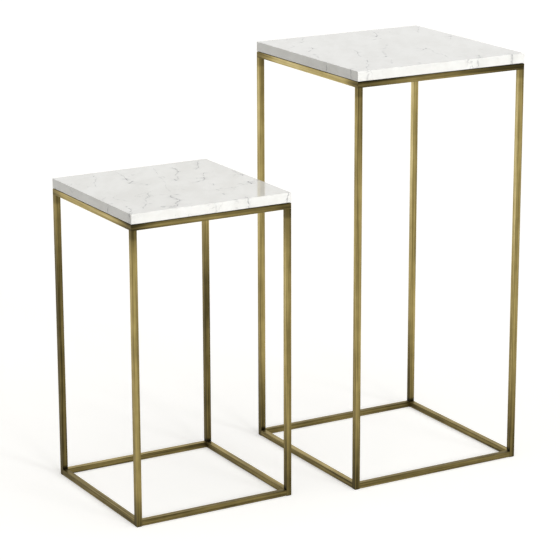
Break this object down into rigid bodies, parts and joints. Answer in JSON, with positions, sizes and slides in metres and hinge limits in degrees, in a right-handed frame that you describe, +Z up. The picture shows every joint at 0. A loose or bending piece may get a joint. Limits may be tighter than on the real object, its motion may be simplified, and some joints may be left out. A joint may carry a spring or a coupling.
{
  "type": "nesting tables",
  "caption": "Pair of square nesting side tables, marble slabs on slim antique-brass tube frames; the small one fits inside the tall one.",
  "frame": {"origin": "on the floor, under the middle of the box round both tables as they stand in the picture", "axes": "+Z up, +X from the small table to the tall one along their parallel sides, +Y to the back"},
  "size_m": [0.748, 0.34, 0.74],
  "materials": {
    "marble": "polished white marble with fine grey veins",
    "antique_brass": "antique brass, brushed along the tube and lacquered",
    "cushion_rubber": "matte black",
    "glide_plastic": "moulded, dark brown",
    "zinc_steel": "zinc plated",
    "insert_brass": "plain turned brass"
  },
  "bodies": {
    "tall_table": {"tall_base_rail_back": "antique_brass", "tall_base_rail_front": "antique_brass", "tall_base_rail_left": "antique_brass", "tall_base_rail_right": "antique_brass", "tall_corner_tab_back_left": "antique_brass", "tall_corner_tab_back_right": "antique_brass", "tall_corner_tab_front_left": "antique_brass", "tall_corner_tab_front_right": "antique_brass", "tall_cushion_strip_back": "cushion_rubber", "tall_cushion_strip_front": "cushion_rubber", "tall_cushion_strip_left": "cushion_rubber", "tall_cushion_strip_right": "cushion_rubber", "tall_foot_glide_back_left": "glide_plastic", "tall_foot_glide_back_right": "glide_plastic", "tall_foot_glide_front_left": "glide_plastic", "tall_foot_glide_front_right": "glide_plastic", "tall_leg_back_left": "antique_brass", "tall_leg_back_right": "antique_brass", "tall_leg_front_left": "antique_brass", "tall_leg_front_right": "antique_brass", "tall_marble_top": "marble", "tall_thread_inserts": "insert_brass", "tall_top_rail_back": "antique_brass", "tall_top_rail_front": "antique_brass", "tall_top_rail_left": "antique_brass", "tall_top_rail_right": "antique_brass", "tall_top_screws": "zinc_steel"},
    "small_table": {"small_base_rail_back": "antique_brass", "small_base_rail_front": "antique_brass", "small_base_rail_left": "antique_brass", "small_base_rail_right": "antique_brass", "small_corner_tab_back_left": "antique_brass", "small_corner_tab_back_right": "antique_brass", "small_corner_tab_front_left": "antique_brass", "small_corner_tab_front_right": "antique_brass", "small_cushion_strip_back": "cushion_rubber", "small_cushion_strip_front": "cushion_rubber", "small_cushion_strip_left": "cushion_rubber", "small_cushion_strip_right": "cushion_rubber", "small_foot_glide_back_left": "glide_plastic", "small_foot_glide_back_right": "glide_plastic", "small_foot_glide_front_left": "glide_plastic", "small_foot_glide_front_right": "glide_plastic", "small_leg_back_left": "antique_brass", "small_leg_back_right": "antique_brass", "small_leg_front_left": "antique_brass", "small_leg_front_right": "antique_brass", "small_marble_top": "marble", "small_thread_inserts": "insert_brass", "small_top_rail_back": "antique_brass", "small_top_rail_front": "antique_brass", "small_top_rail_left": "antique_brass", "small_top_rail_right": "antique_brass", "small_top_screws": "zinc_steel"}
  },
  "joints": [
    {"name": "small_table_nest", "type": "slide", "parent": "tall_table", "child": "small_table", "axis": [0.9923, -0.0563, 0.1104], "range_m": [0, 0.43132]}
  ]
}
